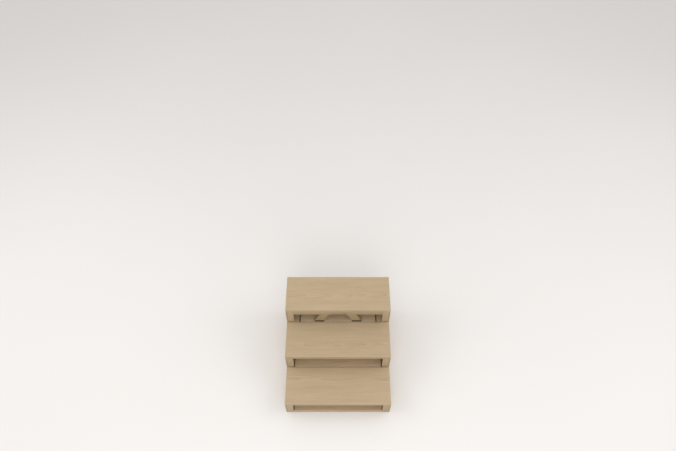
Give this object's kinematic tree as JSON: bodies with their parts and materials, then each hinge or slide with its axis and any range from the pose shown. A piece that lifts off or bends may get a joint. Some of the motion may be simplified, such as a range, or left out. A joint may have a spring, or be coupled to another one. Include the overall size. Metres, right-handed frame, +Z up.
{
  "type": "spa steps",
  "caption": "Wide wooden box steps for the side of a hot tub: full-width treads, stepped boarded sides, deep toe spaces and a splayed brace under the top nose.",
  "frame": {"origin": "on the floor at the middle of the footprint", "axes": "+X to the right of someone climbing the steps, +Y up the steps towards the tub, +Z up"},
  "size_m": [0.7, 0.768, 0.501],
  "materials": {
    "tread_board": "light oiled wood, fine straight grain, satin",
    "toe_board": "light oiled wood, fine straight grain, satin",
    "side_board": "light oiled wood, fine straight grain, satin",
    "back_board": "light oiled wood, fine straight grain, satin",
    "brace_wood": "light oiled wood, fine straight grain, satin",
    "riser_board": "light oiled wood, fine straight grain, satin",
    "post_wood": "light oiled wood, fine straight grain, satin",
    "frame_wood": "light oiled wood, fine straight grain, satin",
    "rubber_pad": "matt black",
    "bracket_steel": "zinc plated",
    "screw_steel": "stainless, satin"
  },
  "bodies": {
    "root": {"back_board_1": "back_board", "back_board_2": "back_board", "back_board_3": "back_board", "board_screws": "screw_steel", "brace_head": "brace_wood", "brace_pads": "rubber_pad", "brace_strut_left": "brace_wood", "brace_strut_right": "brace_wood", "bracket_screws": "screw_steel", "corner_brackets": "bracket_steel", "fascia_left": "brace_wood", "fascia_right": "brace_wood", "foot_pads": "rubber_pad", "lower_back_rail": "frame_wood", "lower_bearer_left": "frame_wood", "lower_bearer_right": "frame_wood", "lower_post_left": "post_wood", "lower_post_right": "post_wood", "lower_rail_left": "frame_wood", "lower_rail_right": "frame_wood", "lower_riser": "riser_board", "lower_toe_board": "toe_board", "lower_tread": "tread_board", "middle_back_rail": "frame_wood", "middle_bearer_left": "frame_wood", "middle_bearer_right": "frame_wood", "middle_cross_rail": "frame_wood", "middle_post_left": "post_wood", "middle_post_right": "post_wood", "middle_rail_left": "frame_wood", "middle_rail_right": "frame_wood", "middle_riser": "riser_board", "middle_toe_board": "toe_board", "middle_tread": "tread_board", "rear_post_left": "post_wood", "rear_post_right": "post_wood", "side_board_1_left": "side_board", "side_board_1_right": "side_board", "side_board_2_left": "side_board", "side_board_2_right": "side_board", "side_board_3_left": "side_board", "side_board_3_right": "side_board", "side_board_4_left": "side_board", "side_board_4_right": "side_board", "side_board_5_left": "side_board", "side_board_5_right": "side_board", "side_board_6_left": "side_board", "side_board_6_right": "side_board", "upper_back_rail": "frame_wood", "upper_bearer_left": "frame_wood", "upper_bearer_right": "frame_wood", "upper_cross_rail": "frame_wood", "upper_post_left": "post_wood", "upper_post_right": "post_wood", "upper_rail_left": "frame_wood", "upper_rail_right": "frame_wood", "upper_riser": "riser_board", "upper_toe_board": "toe_board", "upper_toe_ends": "toe_board", "upper_tread": "tread_board"}
  },
  "joints": []
}
